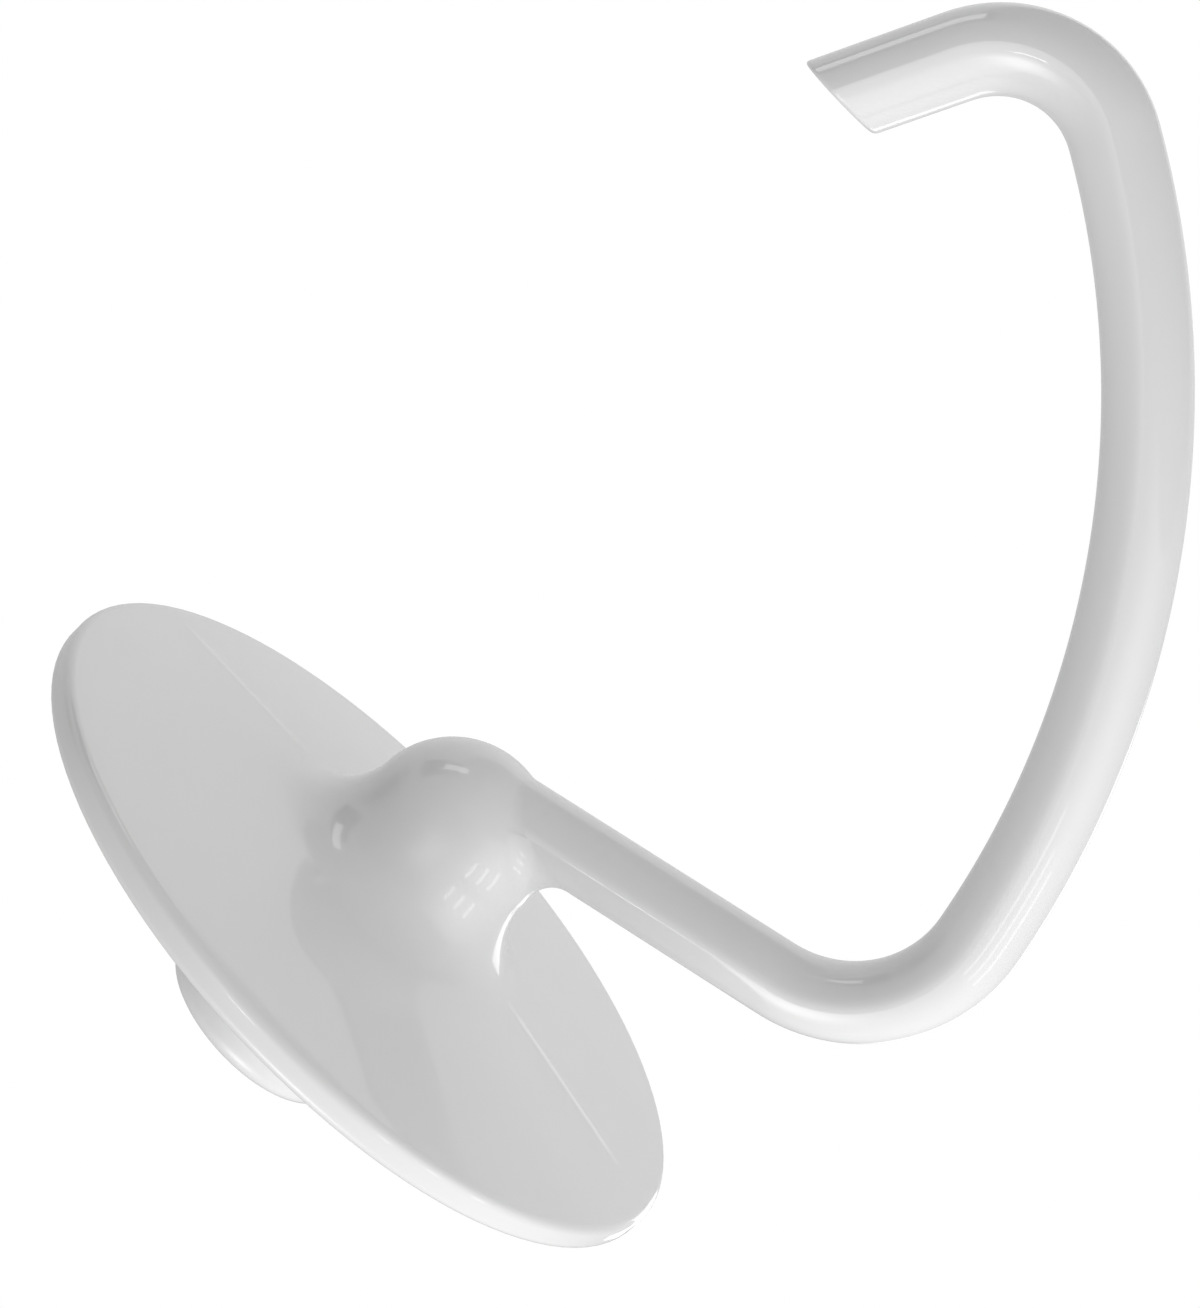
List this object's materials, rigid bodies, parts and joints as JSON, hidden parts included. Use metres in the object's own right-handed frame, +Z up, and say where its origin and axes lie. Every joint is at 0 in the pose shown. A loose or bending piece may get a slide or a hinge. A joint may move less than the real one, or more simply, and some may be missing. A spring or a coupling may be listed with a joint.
{
  "type": "stand mixer dough hook",
  "caption": "White coated cast C-shaped dough hook with a round dough-guard disc, a ball-shaped hub and a bayonet socket.",
  "frame": {"origin": "centre of the socket's mouth, on its axis, where the round wall starts", "axes": "+Z up out of the socket along its axis; the arm leaves the hub towards -X and the toe comes back up on the +X side; the bayonet slot is on the +Y side"},
  "size_m": [0.1089, 0.102, 0.16],
  "materials": {
    "white_coat": "gloss"
  },
  "bodies": {
    "root": {"dough_hook": "white_coat"}
  },
  "joints": []
}
